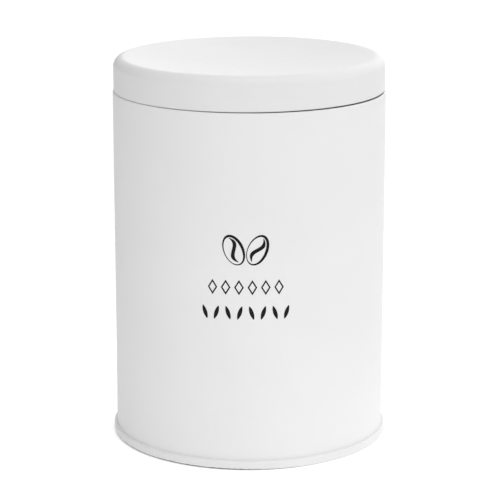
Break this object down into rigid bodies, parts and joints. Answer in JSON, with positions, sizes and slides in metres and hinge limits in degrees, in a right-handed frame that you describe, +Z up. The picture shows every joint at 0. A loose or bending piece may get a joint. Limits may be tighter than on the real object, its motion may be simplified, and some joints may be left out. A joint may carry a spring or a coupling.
{
  "type": "coffee tin",
  "caption": "Round steel tin canister with a double-seamed base, a flush slip-on lid with a dished top, and a press-in inner lid with a knob and a sealing ring.",
  "frame": {"origin": "centre of the base, on the surface the tin stands on", "axes": "+Z up along the tin's axis; -Y towards the printed front; the side weld is at +Y"},
  "size_m": [0.1016, 0.1016, 0.1413],
  "materials": {
    "white_coat": "matte",
    "tinplate": "satin",
    "sealing_compound": "matte",
    "silicone": "satin",
    "knob_plastic": "matte",
    "screw_steel": "satin",
    "print_ink": "matte"
  },
  "bodies": {
    "tin": {"body_wall": "white_coat", "bottom_end": "white_coat", "seam_compound": "sealing_compound"},
    "inner_lid": {"inner_lid_pan": "tinplate", "inner_lid_gasket": "silicone", "inner_lid_knob": "knob_plastic", "knob_screw": "screw_steel", "knob_washer": "silicone"},
    "lid": {"lid_shell": "white_coat"}
  },
  "joints": [
    {"name": "inner_lid_lift", "type": "slide", "parent": "tin", "child": "inner_lid", "axis": [0, 0, 1], "range_m": [0, 0.06]},
    {"name": "lid_lift", "type": "slide", "parent": "inner_lid", "child": "lid", "axis": [0, 0, 1], "range_m": [0, 0.06]}
  ]
}
